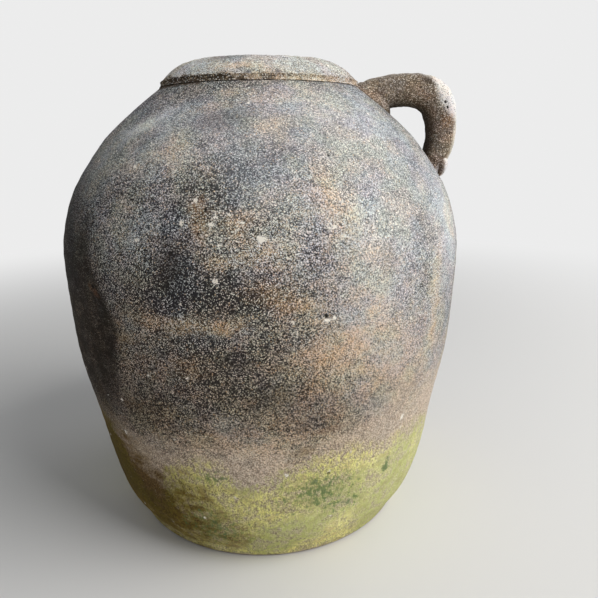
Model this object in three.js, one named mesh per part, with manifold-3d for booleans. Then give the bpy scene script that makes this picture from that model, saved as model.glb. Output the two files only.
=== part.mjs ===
// A big round-shouldered olive jar in coarse earthenware, with a rolled rim and one loop handle.
// It is put together as a potter does it: a floor slab, two thrown wall courses, a rim collar,
// a coil pressed into the inside corner, and a strap handle luted on with two wads of clay.
// Millimetres, +Z up, origin at the middle of the foot. The handle stands towards +X.

import * as THREE from 'three';
import { mergeVertices } from 'three/addons/utils/BufferGeometryUtils.js';
import Module from 'manifold-3d';

// Body, outside
const bodyHeight = 375;
const footRadius = 125.8;
const bellyRadius = 173.4;
const bellyHeight = 236;
const neckRadius = 84.6;
const footRounding = 5;

// Clay walls and the seams between the courses
const wallThickness = 13;
const floorThickness = 18;
const seamHeight = 215;
const cornerCoilSize = 15;
const slipGap = 0.3;
const keyWidth = 7;
const keyDepth = 4;

// Rim collar
const rimHeight = 21;
const rimBandHeight = 6;
const rimEdgeRounding = 1.2;
const mouthRadius = 52;
const lipRounding = 5;
const throatRise = 8;

// Strap handle
const handleThickness = 27.6;
const handleWidth = 36;
const handleRise = 10.3;
const handleStandoff = 7;
const handleCornerRadius = 20;
const upperRootDrop = 9.5;
const lowerRootDrop = 64;
const rootBurial = 17;

// Fineness of the model
const turnSegments = 60;
const lowerSteps = 9;
const upperSteps = 14;
const insideSteps = 8;
const roundingSteps = 3;
const bevelSteps = 6;
const handleRings = 26;
const handleSides = 20;
const wadSegments = 20;
const wadRings = 12;
const weldTolerance = 0.001;

// Outline from foot to belly: share of the belly's height, share of the swell in radius
const footToBellyShares = [
  [0, 0], [0.05, 0.137], [0.127, 0.349], [0.254, 0.519],
  [0.445, 0.697], [0.667, 0.91], [0.89, 0.987],
];
// Outline from belly to neck: share of the height left, share of the narrowing in radius
const bellyToNeckShares = [
  [0, 0], [0.137, 0.012], [0.324, 0.086], [0.46, 0.182],
  [0.647, 0.385], [0.734, 0.5], [0.863, 0.726], [1, 1],
];
// Handle section along its length: share of the length, share of the width, share of the thickness
const handleSectionShares = [
  [0, 1.1, 1.24], [0.16, 1.08, 1.18], [0.32, 1.02, 1], [0.5, 1, 1.08],
  [0.68, 0.95, 0.84], [0.82, 0.95, 0.77], [0.92, 0.8, 0.6], [1, 0.7, 0.5],
];
// Wads of luting clay round the handle's ends, as shares of its thickness: reach along the wall,
// height off it and drop of the middle below the root. The width is a share of the handle's width.
const upperWadShares = { reachShare: 0.6, heightShare: 0.42, dropShare: 0.1, widthShare: 1.4 };
const lowerWadShares = { reachShare: 0.46, heightShare: 0.58, dropShare: 0.08, widthShare: 1.1 };
// Roundness of the handle's section: 1 is an ellipse, 0 a box
const handleRoundnessShare = 0.8;
const topRunShare = 0.3;
const lowerBendShare = 0.55;
const lowerLeanShare = 0.6;
const bevelFullnessShare = 0.47;
const slopeProbeShare = 0.002;
const coilHollowShare = 0.3;

const clay = {
  floor_slab: { color: 0x7d7a52, roughness: 0.95 },
  lower_wall: { color: 0x6c6357, roughness: 0.95 },
  upper_wall: { color: 0x6f6a68, roughness: 0.95 },
  rim_collar: { color: 0xa2988a, roughness: 0.95 },
  floor_corner_coil: { color: 0x84705a, roughness: 0.95 },
  handle_strap: { color: 0x4f443a, roughness: 0.95 },
  handle_upper_wad: { color: 0x5f5346, roughness: 0.95 },
  handle_lower_wad: { color: 0x5a5040, roughness: 0.95 },
};

const wasm = await Module();
wasm.setup();

// Points on the jar's outline, written as radius and height

const outlineStations = [
  ...footToBellyShares.map(([up, out]) => [
    bellyHeight * up,
    THREE.MathUtils.lerp(footRadius, bellyRadius, out),
  ]),
  ...bellyToNeckShares.map(([up, inward]) => [
    THREE.MathUtils.lerp(bellyHeight, bodyHeight, up),
    THREE.MathUtils.lerp(bellyRadius, neckRadius, inward),
  ]),
];
const outline = new THREE.CubicInterpolant(
  Float64Array.from(outlineStations, ([height]) => height),
  Float64Array.from(outlineStations, ([, radius]) => radius),
  1,
);

function outerRadius(height) {
  return outline.evaluate(height)[0];
}

function outerSlope(height) {
  const low = Math.max(height - slopeProbeShare * bodyHeight, 0);
  const high = Math.min(height + slopeProbeShare * bodyHeight, bodyHeight);
  return (outerRadius(high) - outerRadius(low)) / (high - low);
}

function outerPoint(height, growth = 0) {
  const outward = new THREE.Vector2(1, -outerSlope(height)).normalize();
  return new THREE.Vector2(outerRadius(height), height).addScaledVector(outward, growth);
}

// The wall keeps its thickness square to the slope, so it is wider on the level shoulder
function innerPoint(height, growth = 0) {
  const levelWidth = (wallThickness + growth) * Math.hypot(1, outerSlope(height));
  return new THREE.Vector2(outerRadius(height) - levelWidth, height);
}

function heightsBetween(low, high, steps) {
  return Array.from({ length: steps + 1 }, (_, i) => THREE.MathUtils.lerp(low, high, i / steps));
}

function arcPoints(centre, radius, fromAngle, toAngle, steps) {
  return Array.from({ length: steps + 1 }, (_, i) => {
    const angle = THREE.MathUtils.lerp(fromAngle, toAngle, i / steps);
    return centre.clone().add(
      new THREE.Vector2(Math.cos(angle), Math.sin(angle)).multiplyScalar(radius),
    );
  });
}

// V-shaped ridge standing on a level seam, from the outside in. The groove that takes it is the
// same ridge grown by the slip between the two.
function keyPoints(height, growth = 0) {
  const middle = (outerPoint(height).x + innerPoint(height).x) / 2;
  const half = keyWidth / 2;
  const flank = Math.hypot(half, keyDepth);
  const halfGrown = half + growth * flank / keyDepth;
  return [
    new THREE.Vector2(middle + halfGrown, height),
    new THREE.Vector2(middle, height + keyDepth + growth * flank / half),
    new THREE.Vector2(middle - halfGrown, height),
  ];
}

const lowerHeights = heightsBetween(floorThickness, seamHeight, lowerSteps);
const upperHeights = heightsBetween(seamHeight, bodyHeight, upperSteps);

// Solids: turned on the wheel, lofted, joined and cut

function weld(geometry) {
  geometry.deleteAttribute('normal');
  geometry.deleteAttribute('uv');
  const welded = mergeVertices(geometry, weldTolerance);
  const corners = welded.index.array;
  const kept = [];
  for (let i = 0; i < corners.length; i += 3) {
    const [a, b, c] = [corners[i], corners[i + 1], corners[i + 2]];
    if (a !== b && b !== c && c !== a) kept.push(a, b, c);
  }
  welded.setIndex(kept);
  return welded;
}

// The profile runs up the outside and down the inside, and closes on itself or on the axis
function turned(profile) {
  const closes = profile[0].x > 0 || profile[profile.length - 1].x > 0;
  const points = closes ? [...profile, profile[0].clone()] : profile;
  const geometry = new THREE.LatheGeometry(points, turnSegments);
  geometry.rotateX(Math.PI / 2);
  return weld(geometry);
}

function toSolid(geometry) {
  return new wasm.Manifold(new wasm.Mesh({
    numProp: 3,
    vertProperties: Float32Array.from(geometry.attributes.position.array),
    triVerts: Uint32Array.from(geometry.index.array),
  }));
}

function toGeometry(solid) {
  const mesh = solid.getMesh();
  const geometry = new THREE.BufferGeometry();
  geometry.setAttribute('position', new THREE.BufferAttribute(mesh.vertProperties, 3));
  geometry.setIndex(new THREE.BufferAttribute(mesh.triVerts, 1));
  return geometry;
}

// Floor, walls and corner coil

function floorSlab() {
  const edge = arcPoints(
    new THREE.Vector2(outerRadius(footRounding) - footRounding, footRounding),
    footRounding, -Math.PI / 2, 0, roundingSteps,
  );
  return turned([
    new THREE.Vector2(0, 0),
    ...edge,
    outerPoint(floorThickness),
    ...keyPoints(floorThickness),
    new THREE.Vector2(0, floorThickness),
  ]);
}

function lowerWall() {
  const coilTop = floorThickness + cornerCoilSize;
  const inside = [floorThickness, ...heightsBetween(coilTop, seamHeight, insideSteps)];
  return turned([
    ...lowerHeights.map((height) => outerPoint(height)),
    ...keyPoints(seamHeight),
    ...inside.reverse().map((height) => innerPoint(height)),
    ...keyPoints(floorThickness, slipGap).reverse(),
  ]);
}

function upperWall() {
  const inside = heightsBetween(seamHeight, bodyHeight, insideSteps);
  return turned([
    ...upperHeights.map((height) => outerPoint(height)),
    ...keyPoints(bodyHeight),
    ...inside.reverse().map((height) => innerPoint(height)),
    ...keyPoints(seamHeight, slipGap).reverse(),
  ]);
}

// A soft coil thumbed into the corner between floor and wall, hollowed on its free side
function floorCornerCoil() {
  const coilTop = floorThickness + cornerCoilSize;
  const heel = innerPoint(floorThickness, slipGap);
  const top = innerPoint(coilTop, slipGap);
  const toe = new THREE.Vector2(heel.x - cornerCoilSize, floorThickness);
  const corner = new THREE.Vector2(
    THREE.MathUtils.lerp(toe.x, heel.x, 1 - coilHollowShare),
    THREE.MathUtils.lerp(coilTop, floorThickness, 1 - coilHollowShare),
  );
  const hollow = new THREE.QuadraticBezierCurve(top, corner, toe).getPoints(roundingSteps);
  return turned([heel, ...hollow]);
}

// Rim collar: an upright band, a domed bevel, a rounded lip and a throat that meets the wall

function rimOutline() {
  const rimTop = bodyHeight + rimHeight;
  const bandTop = bodyHeight + rimBandHeight;
  const crown = new THREE.Vector2(mouthRadius + lipRounding, rimTop);
  const brow = new THREE.Vector2(
    THREE.MathUtils.lerp(crown.x, neckRadius, bevelFullnessShare), rimTop,
  );
  const bevelFoot = new THREE.Vector2(neckRadius - rimEdgeRounding, bandTop);
  return [
    new THREE.Vector2(neckRadius, bodyHeight),
    new THREE.Vector2(neckRadius, bandTop - rimEdgeRounding),
    ...new THREE.QuadraticBezierCurve(bevelFoot, brow, crown).getPoints(bevelSteps),
  ];
}

function rimCollar() {
  const lipCentre = new THREE.Vector2(
    mouthRadius + lipRounding, bodyHeight + rimHeight - lipRounding,
  );
  const lip = arcPoints(lipCentre, lipRounding, Math.PI / 2, Math.PI, roundingSteps);
  return turned([
    ...rimOutline(),
    ...lip.slice(1),
    new THREE.Vector2(mouthRadius, bodyHeight + throatRise),
    innerPoint(bodyHeight),
    ...keyPoints(bodyHeight, slipGap).reverse(),
  ]);
}

// The outside of the whole jar, grown by the slip: the handle and its wads are scribed to it
function scribeSolid() {
  const heights = [0, ...lowerHeights, ...upperHeights.slice(1)];
  return toSolid(turned([
    new THREE.Vector2(0, 0),
    ...heights.map((height) => outerPoint(height, slipGap)),
    ...rimOutline().map((point) => point.clone().addScalar(slipGap)),
    new THREE.Vector2(0, bodyHeight + rimHeight + slipGap),
  ]));
}

// Handle: its centre line lies in the plane of X and Z, and its rounded section flares at the roots

const upperRoot = outerPoint(bodyHeight - upperRootDrop);
const lowerRoot = outerPoint(bodyHeight - lowerRootDrop);

function handleLine() {
  const runHeight = bodyHeight + handleRise - handleThickness / 2;
  const runRadius = lowerRoot.x + handleStandoff;
  const bend = handleCornerRadius;
  const diagonal = bend * Math.SQRT1_2;
  const points = [
    [upperRoot.x - rootBurial, upperRoot.y - rootBurial],
    [upperRoot.x, upperRoot.y],
    [THREE.MathUtils.lerp(upperRoot.x, runRadius, topRunShare), runHeight],
    [runRadius - bend, runHeight],
    [runRadius - bend + diagonal, runHeight - bend + diagonal],
    [runRadius, runHeight - bend],
    [runRadius, THREE.MathUtils.lerp(runHeight - bend, lowerRoot.y, lowerBendShare)],
    [lowerRoot.x, lowerRoot.y],
    [lowerRoot.x - rootBurial * lowerLeanShare, lowerRoot.y - rootBurial],
  ];
  return new THREE.CatmullRomCurve3(points.map(([radius, height]) =>
    new THREE.Vector3(radius, 0, height)));
}

function handleLoft(growth = 0) {
  const line = handleLine();
  const section = new THREE.CubicInterpolant(
    Float64Array.from(handleSectionShares, ([along]) => along),
    Float64Array.from(handleSectionShares.flatMap(([, wide, thick]) => [wide, thick])),
    2,
  );
  const across = new THREE.Vector3(0, 1, 0);
  const vertices = [];
  const addVertex = (point) => vertices.push(point.x, point.y, point.z);
  for (let ring = 0; ring <= handleRings; ring++) {
    const along = ring / handleRings;
    const [wide, thick] = section.evaluate(along);
    const centre = line.getPointAt(along);
    const outward = new THREE.Vector3().crossVectors(line.getTangentAt(along), across);
    for (let side = 0; side < handleSides; side++) {
      const angle = 2 * Math.PI * side / handleSides;
      addVertex(centre.clone()
        .addScaledVector(across, rounded(Math.cos(angle)) * (handleWidth * wide / 2 + growth))
        .addScaledVector(outward, rounded(Math.sin(angle)) * (handleThickness * thick / 2 + growth)));
    }
  }
  addVertex(line.getPointAt(0));
  addVertex(line.getPointAt(1));
  return toSolid(loftGeometry(vertices));
}

// Between an ellipse and a box
function rounded(value) {
  return Math.sign(value) * Math.abs(value) ** handleRoundnessShare;
}

function loftGeometry(vertices) {
  const faces = [];
  const startCentre = (handleRings + 1) * handleSides;
  const lastRing = handleRings * handleSides;
  for (let side = 0; side < handleSides; side++) {
    const next = (side + 1) % handleSides;
    for (let ring = 0; ring < handleRings; ring++) {
      const here = ring * handleSides;
      const ahead = here + handleSides;
      faces.push(here + side, here + next, ahead + side);
      faces.push(here + next, ahead + next, ahead + side);
    }
    faces.push(startCentre, next, side);
    faces.push(startCentre + 1, lastRing + side, lastRing + next);
  }
  const geometry = new THREE.BufferGeometry();
  geometry.setAttribute('position', new THREE.Float32BufferAttribute(vertices, 3));
  geometry.setIndex(faces);
  return geometry;
}

// A lump of clay pressed on the shoulder round a root of the handle, scribed to both
function wadGeometry(rootHeight, shares) {
  const height = rootHeight - handleThickness * shares.dropShare;
  const seat = outerPoint(height);
  const lump = new THREE.SphereGeometry(1, wadSegments, wadRings);
  lump.scale(
    handleThickness * shares.reachShare,
    handleWidth * shares.widthShare / 2,
    handleThickness * shares.heightShare,
  );
  lump.rotateY(Math.atan2(1, -outerSlope(height)));
  lump.translate(seat.x, 0, seat.y);
  return toGeometry(toSolid(weld(lump)).subtract(jarOutside).subtract(handleGrown));
}

const jarOutside = scribeSolid();
const handleBlank = handleLoft();
const handleGrown = handleLoft(slipGap);

// The jar

const pieces = {
  floor_slab: floorSlab(),
  lower_wall: lowerWall(),
  upper_wall: upperWall(),
  rim_collar: rimCollar(),
  floor_corner_coil: floorCornerCoil(),
  handle_strap: toGeometry(handleBlank.subtract(jarOutside)),
  handle_upper_wad: wadGeometry(bodyHeight - upperRootDrop, upperWadShares),
  handle_lower_wad: wadGeometry(bodyHeight - lowerRootDrop, lowerWadShares),
};

const jar = new THREE.Group();
for (const [name, geometry] of Object.entries(pieces)) {
  geometry.computeVertexNormals();
  const mesh = new THREE.Mesh(geometry, new THREE.MeshStandardMaterial({ ...clay[name], metalness: 0 }));
  mesh.name = name;
  jar.add(mesh);
}

export default jar;
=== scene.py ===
import math
import random

import bmesh
import bpy
import numpy as np
from mathutils import Matrix, Vector


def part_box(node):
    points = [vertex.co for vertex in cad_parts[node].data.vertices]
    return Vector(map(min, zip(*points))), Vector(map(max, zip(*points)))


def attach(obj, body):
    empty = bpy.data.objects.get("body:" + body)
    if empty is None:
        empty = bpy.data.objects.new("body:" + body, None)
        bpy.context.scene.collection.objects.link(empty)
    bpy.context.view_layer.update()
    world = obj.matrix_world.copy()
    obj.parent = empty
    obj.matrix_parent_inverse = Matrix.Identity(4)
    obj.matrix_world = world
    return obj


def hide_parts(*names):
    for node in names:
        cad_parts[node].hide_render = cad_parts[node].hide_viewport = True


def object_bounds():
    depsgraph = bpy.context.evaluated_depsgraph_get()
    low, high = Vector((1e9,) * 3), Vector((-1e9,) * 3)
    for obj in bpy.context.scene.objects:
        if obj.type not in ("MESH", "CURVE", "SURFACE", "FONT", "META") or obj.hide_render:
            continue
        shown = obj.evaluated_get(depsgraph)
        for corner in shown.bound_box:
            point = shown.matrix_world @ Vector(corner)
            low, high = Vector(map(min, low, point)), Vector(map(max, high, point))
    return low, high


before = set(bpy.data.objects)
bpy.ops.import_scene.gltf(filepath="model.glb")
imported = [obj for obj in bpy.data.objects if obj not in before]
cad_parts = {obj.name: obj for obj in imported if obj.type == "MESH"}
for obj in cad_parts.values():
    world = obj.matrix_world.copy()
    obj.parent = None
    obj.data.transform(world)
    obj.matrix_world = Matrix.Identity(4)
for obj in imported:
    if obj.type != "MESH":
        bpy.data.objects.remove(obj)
cadLow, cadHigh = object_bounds()
print("olive jar: frame loaded")

mm = 0.001
random.seed(11)


# Small tools

def deselectAll():
    if bpy.context.object and bpy.context.object.mode != 'OBJECT':
        bpy.ops.object.mode_set(mode='OBJECT')
    bpy.ops.object.select_all(action='DESELECT')


def makeActive(obj):
    deselectAll()
    obj.select_set(True)
    bpy.context.view_layer.objects.active = obj


def editMode(obj, pick='VERT'):
    makeActive(obj)
    bpy.ops.object.mode_set(mode='EDIT')
    bpy.ops.mesh.select_mode(type=pick)


def pointOutwards():
    # and leave edit mode
    bpy.ops.mesh.select_all(action='SELECT')
    bpy.ops.mesh.normals_make_consistent(inside=False)
    bpy.ops.object.mode_set(mode='OBJECT')


def pickOpenEdges(piece, height=0.0, reach=1.0):
    # the open edges within reach of a height
    bpy.ops.mesh.select_mode(type='EDGE')
    mesh = bmesh.from_edit_mesh(piece.data)
    for edge in mesh.edges:
        middle = (edge.verts[0].co.z + edge.verts[1].co.z) / 2
        edge.select = edge.is_boundary and abs(middle - height) < reach
    mesh.select_flush_mode()
    bmesh.update_edit_mesh(piece.data)


def bridgeOpenEdges(piece):
    pickOpenEdges(piece)
    bpy.ops.mesh.bridge_edge_loops()
    pointOutwards()


def applyModifier(obj, modifier):
    makeActive(obj)
    bpy.ops.object.modifier_apply(modifier=modifier.name)


def readPoints(obj):
    points = np.empty(len(obj.data.vertices) * 3)
    obj.data.vertices.foreach_get("co", points)
    return points.reshape(-1, 3)


def writePoints(obj, points):
    obj.data.vertices.foreach_set("co", points.ravel())
    obj.data.update()


def writeChannel(obj, name, values):
    layer = obj.data.attributes.get(name) or obj.data.attributes.new(name, 'FLOAT', 'POINT')
    layer.data.foreach_set("value", np.asarray(values, dtype=np.float32))


def finishPiece(obj, node):
    makeActive(obj)
    bpy.ops.object.shade_smooth_by_angle(angle=math.radians(50))
    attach(obj, "root")
    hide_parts(node)


# Camera, lamps and floor

shot = {
    "place": (0.0321, -0.5147, 0.3324),
    "pitchDown": 15.875,
    "roll": -0.51,
    "lens": 33.58,
    "sensor": 36,
}
lamps = {
    "keyLamp": {"turn": 62, "rise": 42, "distance": 1.9, "size": 1.3, "power": 34},
    "edgeLamp": {"turn": 128, "rise": 25, "distance": 1.5, "size": 0.8, "power": 3},
}
studio = {
    "fillColour": (0.93, 0.96, 1.0),
    "fillStrength": 0.3,
    "backdrop": 0.84,
    "floorColour": (0.72, 0.71, 0.69),
    "floorSize": 14,
    "floorFadeStart": 0.45,
    "floorFadeEnd": 1.5,
}


def aroundJar(turn, rise, distance):
    # turn is in degrees from the camera's side towards the handle
    flat = math.cos(math.radians(rise)) * distance
    angle = math.radians(turn)
    return Vector((
        math.sin(angle) * flat, -math.cos(angle) * flat, math.sin(math.radians(rise)) * distance,
    ))


def makeCamera():
    bpy.ops.object.camera_add(location=shot["place"])
    camera = bpy.context.object
    tilt = Matrix.Rotation(math.radians(90 - shot["pitchDown"]), 3, 'X')
    roll = Matrix.Rotation(math.radians(shot["roll"]), 3, 'Z')
    camera.rotation_euler = (tilt @ roll).to_euler()
    camera.data.lens = shot["lens"]
    camera.data.sensor_width = shot["sensor"]
    camera.data.clip_start = 0.01
    bpy.context.scene.camera = camera


def makeLamp(name, turn, rise, distance, size, power):
    middle = (cadLow + cadHigh) / 2
    place = middle + aroundJar(turn, rise, distance)
    bpy.ops.object.light_add(type='AREA', location=place)
    lamp = bpy.context.object
    lamp.name = name
    lamp.rotation_euler = (middle - place).to_track_quat('-Z', 'Y').to_euler()
    lamp.data.size = size
    lamp.data.energy = power


def makeWorld():
    world = bpy.data.worlds.new("studioAir")
    bpy.context.scene.world = world
    world.use_nodes = True
    tree = world.node_tree
    background = tree.nodes["Background"]
    rays = addNode(tree, "LightPath")
    seen = blend(tree, seenRays(tree, rays), studio["fillColour"], (studio["backdrop"],) * 3)
    ends = {"To Min": studio["fillStrength"], "To Max": 1}
    strength = addNode(tree, "MapRange", {"Value": seenRays(tree, rays), **ends})
    feed(tree, background.inputs["Color"], seen)
    feed(tree, background.inputs["Strength"], strength.outputs["Result"])


def makeFloor():
    deselectAll()
    bpy.ops.mesh.primitive_plane_add(size=studio["floorSize"], location=(0, 0, 0))
    floor = bpy.context.object
    floor.name = "floor"
    material = bpy.data.materials.new("paleFloor")
    material.use_nodes = True
    tree = material.node_tree
    cloth = tree.nodes["Principled BSDF"]
    feed(tree, cloth.inputs["Base Color"], studio["floorColour"])
    feed(tree, cloth.inputs["Roughness"], 0.9)
    feed(tree, cloth.inputs["Specular IOR Level"], 0.1)
    glow = addNode(tree, "Emission", {"Color": (studio["backdrop"],) * 3})
    rays = addNode(tree, "LightPath")
    coords = addNode(tree, "TexCoord").outputs["Object"]
    away = addNode(tree, "VectorMath", {0: coords}, operation='LENGTH')
    far = soften(tree, away.outputs["Value"], studio["floorFadeStart"], studio["floorFadeEnd"])
    share = times(tree, far, seenRays(tree, rays))
    shaders = {"Fac": share, 1: cloth.outputs["BSDF"], 2: glow.outputs["Emission"]}
    mixer = addNode(tree, "MixShader", shaders)
    feed(tree, tree.nodes["Material Output"].inputs["Surface"], mixer.outputs["Shader"])
    floor.data.materials.append(material)


# Node shorthand

def paint(red, green, blue):
    # an ordinary 0 to 255 colour as the linear one that a shader takes
    def toLinear(value):
        value /= 255
        return value / 12.92 if value <= 0.04045 else ((value + 0.055) / 1.055) ** 2.4
    return tuple(toLinear(value) for value in (red, green, blue))


def feed(tree, socket, value):
    if isinstance(value, bpy.types.NodeSocket):
        tree.links.new(value, socket)
    elif isinstance(value, tuple):
        socket.default_value = (*value, 1) if len(value) == 3 and socket.type == 'RGBA' else value
    else:
        socket.default_value = value


def addNode(tree, kind, inputs=None, **settings):
    node = tree.nodes.new("ShaderNode" + kind)
    for name, value in settings.items():
        setattr(node, name, value)
    for socket, value in (inputs or {}).items():
        feed(tree, node.inputs[socket], value)
    return node


def calc(tree, operation, first, second=0.0, clamp=False):
    node = addNode(tree, "Math", {0: first, 1: second}, operation=operation, use_clamp=clamp)
    return node.outputs["Value"]


def times(tree, first, second):
    return calc(tree, 'MULTIPLY', first, second)


def soften(tree, value, low, high, bottom=0.0, top=1.0):
    ends = {"From Min": low, "From Max": high, "To Min": bottom, "To Max": top}
    node = addNode(tree, "MapRange", {"Value": value, **ends}, interpolation_type='SMOOTHSTEP')
    return node.outputs["Result"]


def blend(tree, share, first, second, mode='MIX'):
    colours = {"Factor": share, 6: first, 7: second}
    return addNode(tree, "Mix", colours, data_type='RGBA', blend_type=mode).outputs[2]


def noiseAt(tree, coords, scale, detail=3.0, roughness=0.55):
    inputs = {"Vector": coords, "Scale": scale, "Detail": detail, "Roughness": roughness}
    return addNode(tree, "TexNoise", inputs).outputs["Fac"]


def cellsAt(tree, coords, scale):
    # two random values for each cell, and the distance from its middle
    cells = addNode(tree, "TexVoronoi", {"Vector": coords, "Scale": scale}).outputs
    parts = addNode(tree, "SeparateColor", {"Color": cells["Color"]}).outputs
    return parts["Red"], parts["Green"], cells["Distance"]


def drawnOut(tree, coords, tall):
    # coordinates for a pattern that runs in upright streaks
    return addNode(tree, "Mapping", {"Vector": coords, "Scale": (1, 1, 1 / tall)}).outputs["Vector"]


def painted(tree, channel):
    return addNode(tree, "Attribute", attribute_name=channel).outputs["Fac"]


def weighted(tree, parts):
    # sum of values, each given with its weight
    total = 0.0
    for value, weight in parts:
        total = calc(tree, 'ADD', total, times(tree, value, weight))
    return total


def swing(tree, noises):
    # weighted noises, moved so that they swing about zero
    middle = sum(weight for _, weight in noises) / 2
    return calc(tree, 'SUBTRACT', weighted(tree, noises), middle)


def ragged(tree, channel, noises, low, high):
    # a painted channel whose edge is broken up by noises
    return soften(tree, calc(tree, 'ADD', painted(tree, channel), swing(tree, noises)), low, high)


def bounded(tree, channel, noises, low, high):
    # the same, but with nothing where the channel is empty
    room = soften(tree, painted(tree, channel), 0.0, 0.35)
    return times(tree, ragged(tree, channel, noises, low, high), room)


def seenRays(tree, rays):
    glossy = calc(tree, 'MAXIMUM', rays.outputs["Is Camera Ray"], rays.outputs["Is Glossy Ray"])
    return calc(tree, 'MAXIMUM', glossy, rays.outputs["Is Transmission Ray"])


def newClay(name):
    material = bpy.data.materials.new(name)
    material.use_nodes = True
    tree = material.node_tree
    return material, tree, addNode(tree, "TexCoord").outputs["Object"]


def finishClay(tree, look, surface, height):
    size = {"Strength": look["bumpStrength"], "Distance": look["bumpHeight"]}
    bump = addNode(tree, "Bump", {"Height": height, **size})
    shader = tree.nodes["Principled BSDF"]
    feed(tree, shader.inputs["Base Color"], surface)
    feed(tree, shader.inputs["Normal"], bump.outputs["Normal"])
    feed(tree, shader.inputs["Roughness"], look["roughness"])
    feed(tree, shader.inputs["Specular IOR Level"], look["specular"])


# Clay: dark weathered coat, pale sand grains worn through it, stains and moss

bodyLook = {
    "gritScale": 2600,
    "grainScale": 1200,
    "cellScale": 2000,
    "dotScale": 800,
    "dotSize": 0.5,
    "dotEdge": 0.68,
    "clumpScale": 190,
    "streakScale": 420,
    "streakLength": 2.4,
    "crumbScale": 70,
    "crumbSize": 0.09,
    "sparklePull": 0.05,
    "patchScale": 62,
    "cloudScale": 13,
    "coat": paint(56, 55, 58),
    "coatTan": paint(76, 64, 54),
    "coatChalk": paint(168, 169, 172),
    "grain": paint(226, 229, 232),
    "grainTan": paint(232, 207, 178),
    "grainChalk": paint(250, 249, 246),
    "soot": paint(41, 36, 31),
    "rust": paint(140, 92, 60),
    "earth": paint(238, 220, 200),
    "grime": paint(79, 68, 57),
    "bareDark": paint(134, 110, 92),
    "bareLight": paint(255, 236, 212),
    "mossDark": paint(116, 118, 52),
    "mossLight": paint(250, 244, 150),
    "mossPale": paint(253, 250, 184),
    "mossGreen": paint(150, 168, 92),
    "mossOchre": paint(204, 184, 132),
    "mossShade": paint(88, 78, 40),
    "teal": paint(60, 98, 66),
    "fleck": paint(240, 234, 222),
    "pit": paint(34, 30, 27),
    "coolTint": paint(246, 248, 255),
    "warmTint": paint(255, 253, 247),
    "pinkTint": paint(255, 251, 249),
    "greenTint": paint(248, 253, 250),
    "dampAndShade": paint(164, 144, 100),
    "tintScale": 30,
    "warmScale": 44,
    "grainEdge": 0.59,
    "grainWidth": 0.42,
    "wearPull": 0.42,
    "roughness": 0.92,
    "specular": 0.1,
    "bumpHeight": 0.3 * mm,
    "bumpStrength": 0.6,
}


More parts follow.
